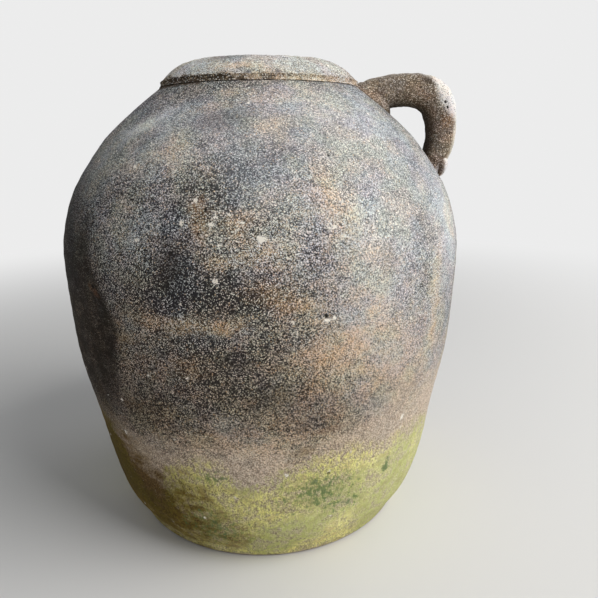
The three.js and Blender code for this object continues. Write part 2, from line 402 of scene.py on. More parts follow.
def makeClay(name, look):
    material, tree, coords = newClay(name)
    grit = noiseAt(tree, coords, look["gritScale"], 1, 0.5)
    grain = noiseAt(tree, coords, look["grainScale"], 2, 0.6)
    cellTone, cellHue, _ = cellsAt(tree, coords, look["cellScale"])
    clump = noiseAt(tree, coords, look["clumpScale"], 4, 0.65)
    patch = noiseAt(tree, drawnOut(tree, coords, 0.55), look["patchScale"], 5, 0.62)
    cloud = noiseAt(tree, coords, look["cloudScale"], 4, 0.5)
    streak = noiseAt(tree, drawnOut(tree, coords, look["streakLength"]), look["streakScale"], 4, 0.7)
    speck = weighted(tree, [(cellTone, 0.8), (grit, 0.1), (grain, 0.1)])

    # share of pale sand that the wear has laid bare
    wearNoise = swing(tree, [(patch, 1.2), (cloud, 0.8), (clump, 0.25)])
    wear = calc(tree, 'ADD', painted(tree, "wear"), wearNoise)
    wear = calc(tree, 'ADD', wear, times(tree, painted(tree, "tan"), 0.3))
    lowEdge = calc(tree, 'SUBTRACT', look["grainEdge"], times(tree, wear, look["wearPull"]))
    highEdge = calc(tree, 'ADD', lowEdge, look["grainWidth"])
    grains = soften(tree, speck, lowEdge, highEdge)

    tan = ragged(tree, "tan", [(patch, 1.2), (clump, 0.8), (grain, 1.0)], 0.2, 0.85)
    chalk = ragged(tree, "chalk", [(patch, 0.6), (cloud, 0.3)], 0.0, 1.0)
    soot = ragged(tree, "soot", [(patch, 0.9), (cloud, 0.4)], 0.1, 1.0)
    rust = bounded(tree, "rust", [(patch, 1.0), (clump, 0.8), (grain, 0.8)], 0.25, 0.9)
    earth = ragged(tree, "earth", [(patch, 0.8), (cloud, 0.5)], 0.0, 1.0)
    grime = bounded(tree, "grime", [(patch, 1.2), (clump, 1.6), (grain, 0.8)], 0.3, 0.8)
    bare = bounded(tree, "bare", [(patch, 1.1), (clump, 0.8), (grain, 0.8)], 0.1, 1.0)
    moss = bounded(tree, "moss", [(patch, 1.6), (streak, 2.0), (speck, 0.5)], 0.1, 1.0)
    teal = bounded(tree, "teal", [(streak, 2.2), (clump, 2.0), (grain, 1.0)], 0.45, 0.9)
    fleck = ragged(tree, "fleck", [(grain, 1.6), (clump, 0.8)], 0.35, 0.5)
    pit = ragged(tree, "pit", [(grain, 0.5), (grit, 0.3)], 0.3, 0.8)

    # the coat, and the sand whose grains are grey-white, cream or tan
    coat = blend(tree, tan, look["coat"], look["coatTan"])
    coat = blend(tree, times(tree, chalk, 0.95), coat, look["coatChalk"])
    warmth = noiseAt(tree, coords, look["warmScale"], 4, 0.6)
    warmCells = soften(tree, weighted(tree, [(cellHue, 0.3), (warmth, 1.0)]), 0.68, 0.76, 0.0, 0.85)
    warmGrain = calc(tree, 'MAXIMUM', tan, warmCells)
    sand = blend(tree, warmGrain, look["grain"], look["grainTan"])
    sand = blend(tree, times(tree, chalk, 0.6), sand, look["grainChalk"])
    surface = blend(tree, grains, coat, sand)
    sparkle = calc(tree, 'ADD', cellTone, times(tree, wear, look["sparklePull"]))
    surface = blend(tree, soften(tree, sparkle, 0.86, 0.93, 0.0, 1.0), surface, look["grainChalk"])
    dotTone, dotHue, dotAway = cellsAt(tree, coords, look["dotScale"])
    dotShare = weighted(tree, [(dotTone, 1.0), (wear, 0.1), (tan, 0.3)])
    dotShare = soften(tree, dotShare, look["dotEdge"], look["dotEdge"] + 0.3, 0.0, 0.95)
    dots = times(tree, dotShare, soften(tree, dotAway, look["dotSize"], look["dotSize"] * 0.5))
    dotPaint = blend(tree, soften(tree, dotHue, 0.4, 0.8), look["grainChalk"], look["grainTan"])
    surface = blend(tree, dots, surface, dotPaint)
    # soot, and painted shade on the side away from the light, covering coat and sand
    sootAndShadeCover = times(tree, soot, soften(tree, patch, 0.36, 0.62, 0.97, 0.78))
    surface = blend(tree, sootAndShadeCover, surface, look["soot"])
    surface = blend(tree, times(tree, rust, 0.3), surface, look["rust"])
    surface = blend(tree, earth, surface, look["earth"], 'MULTIPLY')
    # grime, and painted shade, under the rim and in its band
    surface = blend(tree, grime, surface, look["grime"])
    surface = blend(tree, times(tree, grime, dots), surface, dotPaint)
    for step, cool, warm in ((1.0, "coolTint", "warmTint"), (1.7, "pinkTint", "greenTint")):
        tintNoise = noiseAt(tree, coords, look["tintScale"] * step, 3)
        tint = blend(tree, soften(tree, tintNoise, 0.4, 0.6), look[cool], look[warm])
        surface = blend(tree, 1.0, surface, tint, 'MULTIPLY')
    surface = blend(tree, soften(tree, cellTone, 0.17, 0.08, 0.0, 0.8), surface, look["pit"])

    # bare clay low down, and the moss that grows on it in a thin film
    bareClay = blend(tree, soften(tree, speck, 0.1, 0.9), look["bareDark"], look["bareLight"])
    # less pale bare clay shows where soot and painted shade lie
    clayCover = calc(tree, 'SUBTRACT', 0.66, times(tree, soot, 0.35))
    clayShare = times(tree, bare, clayCover)
    surface = blend(tree, clayShare, surface, bareClay)
    mossTone = soften(tree, weighted(tree, [(speck, 0.3), (streak, 0.5), (clump, 0.3)]), 0.44, 0.6)
    mossy = blend(tree, mossTone, look["mossDark"], look["mossLight"])
    paleMoss = blend(tree, mossTone, look["mossLight"], look["mossPale"])
    mossy = blend(tree, times(tree, chalk, 0.8), mossy, paleMoss)
    ochre = soften(tree, weighted(tree, [(clump, 0.45), (patch, 0.55)]), 0.49, 0.6, 0.0, 0.7)
    mossy = blend(tree, ochre, mossy, look["mossOchre"])
    mossy = blend(tree, soften(tree, cloud, 0.45, 0.6, 0.0, 0.55), mossy, look["mossGreen"])
    # moss darkened by soot and by painted shade on the side away from the light
    mossy = blend(tree, times(tree, soot, 0.65), mossy, look["mossShade"])
    thick = soften(tree, weighted(tree, [(clump, 0.5), (streak, 0.5)]), 0.39, 0.58, 0.5, 1.0)
    film = times(tree, thick, soften(tree, patch, 0.4, 0.52, 0.6, 1.0))
    surface = blend(tree, times(tree, moss, film), surface, mossy)
    # painted shade with the damp: bare clay low on the dark side is darkened
    dampAndShadeShare = calc(tree, 'MULTIPLY', times(tree, bare, soot), 1.4, clamp=True)
    surface = blend(tree, dampAndShadeShare, surface, look["dampAndShade"], 'MULTIPLY')
    surface = blend(tree, times(tree, teal, 0.75), surface, look["teal"])

    # crumbs of lime, and pits
    crumbTone, _, crumbAway = cellsAt(tree, coords, look["crumbScale"])
    crumbEdge = calc(tree, 'ADD', crumbAway, swing(tree, [(grain, 0.3), (grit, 0.1)]))
    crumb = soften(tree, crumbEdge, look["crumbSize"], look["crumbSize"] * 0.6)
    crumb = times(tree, crumb, soften(tree, crumbTone, 0.8, 0.82))
    surface = blend(tree, calc(tree, 'MAXIMUM', fleck, crumb), surface, look["fleck"])
    surface = blend(tree, pit, surface, look["pit"])

    finishClay(tree, look, surface, weighted(tree, [(speck, 0.4), (grain, 0.5), (patch, 0.6)]))
    return material


# The jar's outside, turned in one piece and then parted into its courses

slabBox, lowerBox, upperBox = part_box("floor_slab"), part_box("lower_wall"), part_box("upper_wall")
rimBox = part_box("rim_collar")

jar = {
    "footRadius": 125.8 * mm,
    "footRounding": 5 * mm,
    "bellyHeight": 236 * mm,
    "wall": 13 * mm,
    "columns": 640,
    "rowHeight": 1.65 * mm,
    "bottomRows": 8,
    "roundingRows": 4,
    "innerRows": 14,
    "innerRing": 0.5 * mm,
    "innerRingStep": 2.4,
    "innerStart": 6 * mm,
    "skinShare": 0.6,
    "slabTop": lowerBox[0].z,
    "seam": upperBox[0].z,
    "neck": rimBox[0].z,
    "bellyRadius": upperBox[1].x,
    "neckRadius": rimBox[1].x,
}
# share of the belly's height, share of the swell in radius
footToBelly = [
    (0, 0), (0.05, 0.137), (0.127, 0.349), (0.254, 0.519),
    (0.445, 0.697), (0.667, 0.91), (0.89, 0.987),
]
# share of the height left, share of the narrowing in radius
bellyToNeck = [
    (0, 0), (0.137, 0.012), (0.324, 0.086), (0.46, 0.182),
    (0.647, 0.385), (0.734, 0.5), (0.863, 0.726), (1, 1),
]


def smoothLine(points, x):
    # a cubic through the points, with each slope taken from its neighbours
    px, py = np.array(points, dtype=float).T
    slopes = np.empty_like(px)
    slopes[1:-1] = (py[2:] - py[:-2]) / (px[2:] - px[:-2])
    slopes[0] = 1.5 * (py[1] - py[0]) / (px[1] - px[0]) - 0.5 * slopes[1]
    slopes[-1] = 1.5 * (py[-1] - py[-2]) / (px[-1] - px[-2]) - 0.5 * slopes[-2]
    k = np.clip(np.searchsorted(px, x) - 1, 0, len(px) - 2)
    width = px[k + 1] - px[k]
    t = (x - px[k]) / width
    return ((2 * t**3 - 3 * t**2 + 1) * py[k] + (t**3 - 2 * t**2 + t) * width * slopes[k]
            + (3 * t**2 - 2 * t**3) * py[k + 1] + (t**3 - t**2) * width * slopes[k + 1])


def outerRadius(height):
    swell = jar["bellyRadius"] - jar["footRadius"]
    narrowing = jar["bellyRadius"] - jar["neckRadius"]
    rise = jar["neck"] - jar["bellyHeight"]
    points = [(jar["bellyHeight"] * up, jar["footRadius"] + swell * out) for up, out in footToBelly]
    points += [(jar["bellyHeight"] + rise * up, jar["bellyRadius"] - narrowing * back)
               for up, back in bellyToNeck]
    return smoothLine(points, height)


def innerRadius(height):
    step = 0.5 * mm
    slope = (outerRadius(height + step) - outerRadius(height - step)) / (2 * step)
    return outerRadius(height) - jar["wall"] * math.hypot(1, slope)


def evenHeights(low, high):
    # heights whose rows lie evenly along the slope of the wall
    heights = np.linspace(low, high, 2000)
    radii = outerRadius(heights)
    along = np.concatenate([[0], np.cumsum(np.hypot(np.diff(heights), np.diff(radii)))])
    rows = max(2, round(along[-1] / jar["rowHeight"]))
    return np.interp(np.linspace(0, along[-1], rows + 1), along, heights)


def drawProfile(name, points):
    # points are (radius, height), drawn in the XZ plane by extruding one vertex
    deselectAll()
    bpy.ops.mesh.primitive_plane_add(size=mm, location=(points[0][0], 0, points[0][1]))
    obj = bpy.context.object
    obj.name = obj.data.name = name
    bpy.ops.object.transform_apply(location=True, rotation=False, scale=False)
    editMode(obj)
    bpy.ops.mesh.select_all(action='SELECT')
    bpy.ops.mesh.merge(type='CENTER')
    for here, there in zip(points, points[1:]):
        step = (there[0] - here[0], 0, there[1] - here[1])
        bpy.ops.mesh.extrude_region_move(TRANSFORM_OT_translate={"value": step})
    return obj


def spinProfile(obj, columns):
    editMode(obj)
    bpy.ops.mesh.select_all(action='SELECT')
    bpy.ops.mesh.spin(steps=columns, angle=math.tau, center=(0, 0, 0), axis=(0, 0, 1))
    bpy.ops.mesh.select_all(action='SELECT')
    bpy.ops.mesh.remove_doubles(threshold=0.02 * mm)
    pointOutwards()


def makeSkin():
    rounding = jar["footRounding"]
    middle = outerRadius(rounding) - rounding
    points = [(middle * i / jar["bottomRows"], 0) for i in range(jar["bottomRows"] + 1)]
    for i in range(1, jar["roundingRows"] + 1):
        angle = math.pi / 2 * (i / jar["roundingRows"] - 1)
        points.append((middle + rounding * math.cos(angle), rounding + rounding * math.sin(angle)))
    stops = [rounding, jar["slabTop"], jar["seam"], jar["neck"]]
    for low, high in zip(stops, stops[1:]):
        points += [(float(outerRadius(z)), float(z)) for z in evenHeights(low, high)[1:]]
    skin = drawProfile("skin", points)
    spinProfile(skin, jar["columns"])
    return skin


# Relief of the outside

relief = {
    "lumpSize": 95 * mm, "lumpDepth": 0.3 * mm,
    "waveSize": 24 * mm, "waveDepth": 0.12 * mm,
    "roughSize": 4.5 * mm, "roughDepth": 0.3 * mm,
    "ringPitch": 13 * mm, "ringDepth": 0.16 * mm,
    "seamGroove": 0.25 * mm, "seamGrooveWidth": 3.5 * mm,
    "bulgeTurn": 78, "bulgeWidth": 34, "bulgeHeight": 58 * mm, "bulgeReach": 42 * mm,
    "bulgeRise": 1.9 * mm,
    "pitCount": 50,
}
# turn in degrees, height, radius and depth in millimetres
namedPits = [
    (22, 323, 1.3, 1.1), (24.5, 301, 1.3, 0.9), (20, 91, 1.6, 1.3), (8.6, 98, 1.4, 1.1),
    (-9.5, 291, 1.8, 1.0), (-8, 292, 1.6, 0.9), (-6.5, 293.5, 1.6, 0.9), (-42, 233, 2.4, 1.4),
    (17, 221, 2.0, 1.2), (13, 214, 1.5, 0.9), (-15.5, 280, 1.6, 1.0), (2, 276, 1.4, 0.8),
    (27, 236, 1.4, 0.8), (-27, 165, 1.5, 0.7), (5, 150, 1.4, 0.7), (33, 207, 1.5, 0.8),
]


def roughen(obj, size, depth):
    # lumps of one size, pressed inwards where the relief group allows
    texture = bpy.data.textures.new(f"{obj.name}Relief", 'CLOUDS')
    texture.noise_scale = size
    texture.noise_depth = 2
    push = obj.modifiers.new("relief", 'DISPLACE')
    push.texture = texture
    push.texture_coords = 'LOCAL'
    push.direction = 'NORMAL'
    push.mid_level = 1
    push.strength = depth
    push.vertex_group = "relief"
    applyModifier(obj, push)


def smoothShare(value, low, high):
    share = np.clip((value - low) / (high - low), 0, 1)
    return share * share * (3 - 2 * share)


def turnsAndHeights(points):
    turns = np.degrees(np.arctan2(points[:, 0], -points[:, 1]))
    radii = np.hypot(points[:, 0], points[:, 1])
    return turns, points[:, 2], radii


def turnedFrom(turns, turn):
    # the angle in radians, the short way round
    return np.radians((turns - turn + 180) % 360 - 180)


def weighRelief(obj, weights):
    group = obj.vertex_groups.new(name="relief")
    for level in range(1, 11):
        chosen = np.flatnonzero(np.ceil(weights * 10) == level)
        if len(chosen):
            group.add(chosen.tolist(), level / 10, 'REPLACE')


def shapeSkin(skin):
    points = readPoints(skin)
    turns, heights, radii = turnsAndHeights(points)
    outward = np.stack([points[:, 0], points[:, 1]], 1) / np.maximum(radii, mm)[:, None]

    # fuller low down beside the handle, as the thrown wall sagged there
    across = (turns - relief["bulgeTurn"]) / relief["bulgeWidth"]
    up = (heights - relief["bulgeHeight"]) / relief["bulgeReach"]
    push = relief["bulgeRise"] * np.exp(-across**2 - up**2) * smoothShare(heights, 2 * mm, 16 * mm)

    # throwing rings, and a groove above and below the luted seam
    wobble = np.sin(np.radians(turns) * 3 + 0.7) * 1.6 * mm
    wave = 0.5 + 0.5 * np.sin(math.tau * (heights + wobble) / relief["ringPitch"])
    wallShare = smoothShare(heights, 25 * mm, 45 * mm) * (1 - smoothShare(heights, 350 * mm, 368 * mm))
    push -= relief["ringDepth"] * wave * wallShare
    for side in (-1, 1):
        middle = jar["seam"] + side * 6 * mm + wobble
        groove = np.exp(-((heights - middle) / relief["seamGrooveWidth"])**2)
        fading = 0.45 + 0.55 * np.sin(np.radians(turns) * 2 + side)**2
        push -= relief["seamGroove"] * groove * fading
    points[:, :2] += outward * push[:, None]
    writePoints(skin, points)

    weighRelief(skin, smoothShare(heights, 1 * mm, 14 * mm) * 0.85 + 0.15 * (heights > 2 * mm))
    for kind in ("lump", "wave", "rough"):
        roughen(skin, relief[kind + "Size"], relief[kind + "Depth"])
    points = readPoints(skin)

    # pits and blowholes
    pits = list(namedPits)
    for _ in range(relief["pitCount"]):
        pits.append((random.uniform(-180, 180), random.uniform(35, 365),
                     random.uniform(1.1, 1.7), random.uniform(0.3, 0.9)))
    dark = np.zeros(len(points))
    for turn, height, radius, depth in pits:
        height, radius = height * mm, radius * mm
        around = turnedFrom(turns, turn) * radii
        reach = np.exp(-(around**2 + (heights - height)**2) / radius**2)
        points[:, :2] -= outward * (reach * depth * mm)[:, None]
        dark = np.maximum(dark, reach * min(1, depth))
    writePoints(skin, points)
    writeChannel(skin, "pit", dark)


# Stains: turn in degrees, height in mm, half width and half height in mm, strength,
# and the slant in degrees if there is one

bodyStains = {
    "wear": [
        (-28, 268, 34, 30, 0.45), (30, 262, 38, 60, 0.6), (50, 205, 50, 80, 0.45),
        (14, 292, 34, 30, 0.35), (26, 190, 55, 34, 0.7), (-12, 216, 46, 9, 0.35),
        (22, 240, 40, 40, 0.45), (-24, 240, 40, 30, -0.3), (-2, 235, 34, 16, -0.4),
        (10, 300, 50, 24, 0.1), (34, 140, 60, 30, 0.3), (10, 118, 30, 12, 0.4), (62, 268, 24, 34, 0.6),
        (3, 266, 30, 20, 0.35), (-4, 136, 44, 20, 0.4), (-20, 322, 36, 16, 0.35, 12),
        (0, 358, 70, 12, 0.15), (42, 345, 60, 28, 0.25), (2, 108, 70, 20, 0.7),
        (-34, 336, 44, 22, 0.35), (-38, 345, 16, 4.5, 0.9, 25),
    ],
    "chalk": [
        (58, 300, 60, 56, 0.6), (64, 268, 26, 36, 0.7), (66, 190, 46, 100, 0.5), (64, 110, 46, 60, 0.9),
        (34, 352, 60, 26, 0.65), (-38, 345, 16, 4.5, 1.0, 25), (-22, 346, 70, 26, 0.4),
        (4, 298, 34, 22, 0.4), (34, 300, 40, 50, 0.5), (-30, 325, 40, 22, 0.35), (10, 335, 60, 26, 0.4),
        (30, 250, 40, 70, 0.45), (40, 150, 50, 60, 0.55), (48, 60, 50, 60, 0.9), (20, 40, 40, 30, 0.7),
        (2, 88, 26, 12, 0.4), (-54, 322, 36, 30, 0.55),
    ],
    "tan": [
        (-14, 355, 20, 4, 1.0, 8), (8, 361, 30, 8, 0.85), (-25, 324, 28, 9, 0.8, 16),
        (4, 342, 16, 8, 0.6), (0, 281, 18, 12, 0.6), (-48, 300, 16, 8, 0.5, 20), (-11, 287, 8, 18, 1.0),
        (18, 302, 13, 18, 1.0), (22, 280, 14, 14, 1.0), (-12, 216, 50, 7, 1.0),
        (-41, 231, 14, 5, 0.7, -30), (3, 262, 20, 8, 0.9), (-7, 258, 10, 7, 0.9), (4, 240, 24, 9, 0.8),
        (9, 230, 20, 7, 0.9), (-3, 282, 14, 8, 0.7), (24, 196, 42, 14, 0.4), (52, 215, 9, 60, 0.9),
        (-16, 180, 40, 12, 0.5), (21, 206, 18, 10, 0.5), (16, 186, 20, 9, 0.5), (30, 222, 16, 10, 0.5),
        (-2, 122, 70, 10, 0.5), (28, 168, 26, 18, 0.5), (-30, 200, 26, 12, 0.45), (-6, 366, 14, 5, 0.6),
    ],
    # soot stains, with painted shade on the left, away from the light
    "soot": [
        (-62, 205, 62, 80, 1.0), (-78, 150, 50, 60, 0.8), (-68, 240, 54, 70, 1.1),
        (-5, 192, 30, 9, 0.4), (3, 165, 24, 20, 0.45), (-9, 348, 30, 11, 0.5, 10),
        (-30, 145, 40, 16, 0.4), (12, 138, 22, 10, 0.3), (12, 116, 14, 9, 0.4, 30),
        (-60, 70, 54, 60, 1.0), (-34, 40, 60, 44, 0.75), (-14, 34, 34, 26, 0.35),
        (20, 160, 26, 12, 0.3), (33, 256, 10, 18, 0.45), (-17, 254, 14, 22, 0.75),
        (-46, 180, 26, 34, 0.7), (-20, 78, 30, 26, 0.3), (-14, 300, 12, 10, 0.35, 30),
        (-44, 225, 34, 30, 0.4),
    ],
    "rust": [
        (-11, 288, 7, 16, 0.75), (-41, 230, 12, 4, 0.7, -30), (20, 132, 18, 6, 0.8),
        (-2, 200, 44, 4, 0.4), (53, 190, 7, 40, 0.45), (8, 186, 30, 5, 0.35),
    ],
    "teal": [
        (18, 76, 44, 22, 0.6), (16, 74, 16, 12, 0.4), (-14, 38, 40, 30, 0.6), (41, 78, 5, 10, 1.0),
        (-12, 92, 14, 8, 0.7), (28, 56, 24, 9, 0.5),
    ],
    "fleck": [
        (-15, 282, 1.6, 2.2, 1.0), (-8, 282, 2.2, 1.4, 1.0), (3, 273, 3.6, 2.2, 1.0),
        (-7, 247, 2.2, 1.8, 1.0), (17, 218, 2.6, 1.4, 1.0), (-22, 318, 1.4, 1.2, 1.0),
        (-33, 316, 1.6, 1.4, 1.0), (-41, 113, 1.5, 2.2, 0.9), (44, 122, 2.0, 3.2, 0.9),
        (8, 95, 2.0, 1.6, 0.9), (20, 93, 1.8, 1.4, 0.9), (-26, 270, 3.0, 1.2, 0.8),
        (-7, 286, 1.8, 1.2, 0.9), (-4, 288, 2.0, 1.1, 0.9), (-1, 283, 1.6, 1.3, 0.8),
        (-6, 269, 1.5, 1.2, 0.8), (-8, 272, 1.2, 1.4, 0.8), (2, 287, 1.6, 1.0, 0.8),
        (19, 279, 5.0, 3.0, 0.5), (17, 288, 3.0, 3.4, 0.4), (-19, 314, 3.4, 1.6, 0.5, 20),
        (-12, 296, 1.6, 1.2, 0.9),
    ],
}
# turn in degrees and the height in mm where the moss gives out, and where the bare clay does
mossLine = [
    (-180, 84), (-166, 104), (-152, 74), (-140, 92), (-128, 100), (-112, 76), (-98, 98), (-82, 88),
    (-60, 120), (-50, 116), (-45, 100), (-39, 62), (-33, 60), (-27, 96), (-17, 108), (-9, 106),
    (-6, 92), (-1, 88), (5, 97), (9, 102), (13, 112), (28, 114), (38, 106), (48, 111), (62, 104),
    (76, 82), (88, 96), (100, 70), (116, 86), (130, 60), (146, 94), (162, 72), (180, 84),
]
bareLine = [
    (-180, 120), (-150, 136), (-120, 112), (-90, 130), (-60, 122), (-36, 116), (-20, 116), (-4, 126),
    (8, 118), (14, 116), (22, 132), (40, 142), (60, 150), (84, 128), (104, 138), (126, 112),
    (150, 134), (180, 120),
]
# height in mm and the turn in degrees where the black side begins
blackLine = [
    (60, -56), (100, -50), (130, -43), (150, -40), (180, -38), (205, -37), (228, -39), (252, -42),
    (272, -44), (300, -50),
]
# how far the weathering of the hidden side spreads: half width, half height, most strength
hiddenSpread = {
    "wear": (40, 30, 0.9), "chalk": (46, 30, 0.9), "tan": (26, 12, 0.9), "soot": (42, 24, 0.45),
    "rust": (16, 6, 0.9),
}


def spotted(places, turns, heights, radii):
    total = np.zeros(len(turns))
    for turn, height, halfWidth, halfHeight, strength, *slant in places:
        across = turnedFrom(turns, turn) * radii / mm
        up = heights / mm - height
        lean = math.radians(sum(slant))
        along = across * math.cos(lean) + up * math.sin(lean)
        beside = up * math.cos(lean) - across * math.sin(lean)
        spot = strength * np.exp(-(along / halfWidth)**2 - (beside / halfHeight)**2)
        total = 1 - (1 - total) * (1 - spot)
    return total


def hiddenStains():
    # the side away from the camera weathers as the front does
    extra = {}
    for channel, (wide, tall, most) in hiddenSpread.items():
        extra[channel] = []
        for _ in range(11):
            extra[channel].append((
                random.uniform(88, 276), random.uniform(130, 360),
                wide * random.uniform(0.5, 1.4), tall * random.uniform(0.5, 1.4),
                random.uniform(0.3, most), random.uniform(-25, 25),
            ))
    return extra


def blackSide(turns, heights):
    # dark clay and painted shade on the side away from the light, up to a fairly clear edge in front
    lean = 5 * np.sin(heights / (31 * mm)) + 3 * np.sin(heights / (13 * mm) + 1)
    edge = np.interp(heights / mm, *np.array(blackLine).T)
    black = smoothShare(turns + 0.3 * lean, edge + 7, edge - 1) * smoothShare(turns + 3 * lean, -172, -96)
    reach = heights + 14 * mm * np.sin(np.radians(turns) * 5) + 7 * mm * np.sin(np.radians(turns) * 13)
    return black * smoothShare(reach, 88 * mm, 196 * mm) * (1 - smoothShare(reach, 250 * mm, 345 * mm))


def stainBody(obj):
    turns, heights, radii = turnsAndHeights(readPoints(obj))
    extra = hiddenStains()
    for channel, places in bodyStains.items():
        shares = spotted(places + extra.get(channel, []), turns, heights, radii)
        # the black side, dark clay with painted shade, is laid over the soot stains
        if channel == "soot":
            shares = np.maximum(shares, 1.1 * blackSide(turns, heights))
        writeChannel(obj, channel, shares)
    mossTop = np.interp(turns, *np.array(mossLine).T) * mm
    bareTop = np.interp(turns, *np.array(bareLine).T) * mm
    earth = 1 - 0.75 * smoothShare(heights, 130 * mm, 290 * mm)
    earth *= 1 - 0.4 * smoothShare(turns, 10, 60) * (1 - smoothShare(turns, 110, 160))
    writeChannel(obj, "earth", earth)
    # painted shadow under the rim, with grime, on the side away from the light
    underRim = smoothShare(heights, jar["neck"] - 5 * mm, jar["neck"] - 0.5 * mm)
    writeChannel(obj, "grime", underRim * (1 - smoothShare(turns, -45, -15)) * (turns > -160))
    lit = smoothShare(heights, 0.3 * mm, 4 * mm)
    writeChannel(obj, "moss", lit * (1 - smoothShare(heights, mossTop - 30 * mm, mossTop + 14 * mm)))
    writeChannel(obj, "bare", 1 - smoothShare(heights, bareTop - 30 * mm, bareTop + 26 * mm))


# Courses: a stretch of the skin closed by an inner wall

def copyPiece(source, name):
    makeActive(source)
    bpy.ops.object.duplicate()
    piece = bpy.context.object
    piece.name = piece.data.name = name
    return piece


def keepBetween(piece, low, high):
    editMode(piece, 'FACE')
    mesh = bmesh.from_edit_mesh(piece.data)
    for face in mesh.faces:
        face.select = not low < face.calc_center_median().z < high
    mesh.select_flush_mode()
    bmesh.update_edit_mesh(piece.data)
    bpy.ops.mesh.delete(type='FACE')


def extrudeInward(scale, rise=0.0):
    bpy.ops.mesh.extrude_region_move(TRANSFORM_OT_translate={"value": (0, 0, rise)})
    bpy.ops.transform.resize(value=(scale, scale, 1), center_override=(0, 0, 0))


def closeWall(piece, low, high, steps):
    # across the top, down the inside in throwing rings, and bridged to the bottom edge
    pickOpenEdges(piece, high, 4 * mm)
    here = innerRadius(high - 1 * mm)
    extrudeInward(here / outerRadius(high))
    for i in range(1, steps):
        height = high + (low - high) * i / steps
        ring = jar["innerRing"] * math.sin(i * jar["innerRingStep"])
        there = innerRadius(height) + ring
        extrudeInward(there / here, (low - high) / steps)
        here = there
    innerLow = innerRadius(low + 1 * mm)
    extrudeInward(innerLow / here, (low - high) / steps)
    bridgeOpenEdges(piece)


def closeSlab(piece, top):
    pickOpenEdges(piece, top, 4 * mm)
    for scale in (0.93, 0.8, 0.7, 0.5, 0.2):
        extrudeInward(scale)
    bpy.ops.mesh.merge(type='CENTER')
    pointOutwards()


# Rim collar

rim = {
    "columns": 512,
    "bandHeight": 6 * mm,
    "edge": 1.2 * mm,
    "mouth": 52 * mm,
    "lip": 5 * mm,
    "fullness": 0.47,
    "throat": 8 * mm,
    "hollow": 0.2 * mm,
    "reliefRoom": 0.5 * mm,
    "reliefSizes": (30 * mm, 9 * mm, 3.2 * mm),
    "reliefDepths": (0.9 * mm, 0.8 * mm, 0.5 * mm),
    "bevelRows": 26,
    "lipRows": 8,
    "throatRows": 6,
}
rimLook = dict(bodyLook, coat=paint(118, 112, 106), coatTan=paint(132, 112, 88), soot=paint(98, 96, 102),
               coatChalk=paint(158, 152, 148), grainEdge=0.64)
handleLook = dict(bodyLook, coat=paint(124, 113, 103), coatTan=paint(112, 92, 75),
                  coatChalk=paint(248, 243, 240), soot=paint(56, 50, 44),
                  grain=paint(232, 224, 212), grainChalk=paint(236, 230, 226),
                  cellScale=1700, dotScale=1100, grainEdge=0.68)
rimStains = {
    "tan": [(-10, 387, 22, 3.0, 0.9), (-32, 384, 18, 3, 0.5), (30, 384, 30, 5, 0.35),
            (8, 386, 14, 3, 0.5)],
    "wear": [(-50, 388, 80, 20, 0.8), (10, 386, 80, 30, 0.45), (180, 388, 200, 30, 0.55)],
    "chalk": [(40, 388, 60, 12, 0.55), (-45, 388, 30, 8, 0.5), (4, 391, 30, 5, 0.5),
              (150, 390, 60, 12, 0.6), (-130, 388, 40, 10, 0.5)],
    "soot": [(-18, 394, 22, 3, 0.7), (-2, 381.5, 3, 1.5, 1.0), (13, 381.5, 2.5, 2.5, 0.9)],
    "fleck": [(-43, 380, 0.9, 2.2, 0.8)],
}


def makeRim():
    band = jar["neck"] + rim["bandHeight"]
    top = rimBox[1].z
    crown = Vector((rim["mouth"] + rim["lip"], top))
    foot = Vector((jar["neckRadius"] - rim["edge"], band))
    brow = Vector((crown.x + (jar["neckRadius"] - crown.x) * rim["fullness"], top))
    bandRadius = jar["neckRadius"] + rim["reliefRoom"]
    points = [(bandRadius, jar["neck"])]
    for i in range(1, 6):
        share = i / 5
        hollow = rim["hollow"] * math.sin(math.pi * share)
        points.append((bandRadius - hollow,
                       jar["neck"] + share * (rim["bandHeight"] - rim["edge"])))
    for i in range(rim["bevelRows"] + 1):
        t = i / rim["bevelRows"]
        spot = foot * (1 - t)**2 + brow * 2 * t * (1 - t) + crown * t * t
        points.append((spot.x, spot.y))
    for i in range(1, rim["lipRows"] + 1):
        angle = math.pi / 2 * (1 + i / rim["lipRows"])
        points.append((crown.x + rim["lip"] * math.cos(angle),
                       top - rim["lip"] + rim["lip"] * math.sin(angle)))
    low = jar["neck"] + rim["throat"]
    for i in range(1, rim["throatRows"] + 1):
        share = i / rim["throatRows"]
        points.append((rim["mouth"], top - rim["lip"] + (low - top + rim["lip"]) * share))
    inner = float(innerRadius(jar["neck"] - 1 * mm))
    points += [((rim["mouth"] + inner) / 2, jar["neck"] + rim["throat"] * 0.5), (inner, jar["neck"])]
    collar = drawProfile("rimCollar", points)
    spinProfile(collar, rim["columns"])
    editMode(collar)
    bridgeOpenEdges(collar)
    return collar


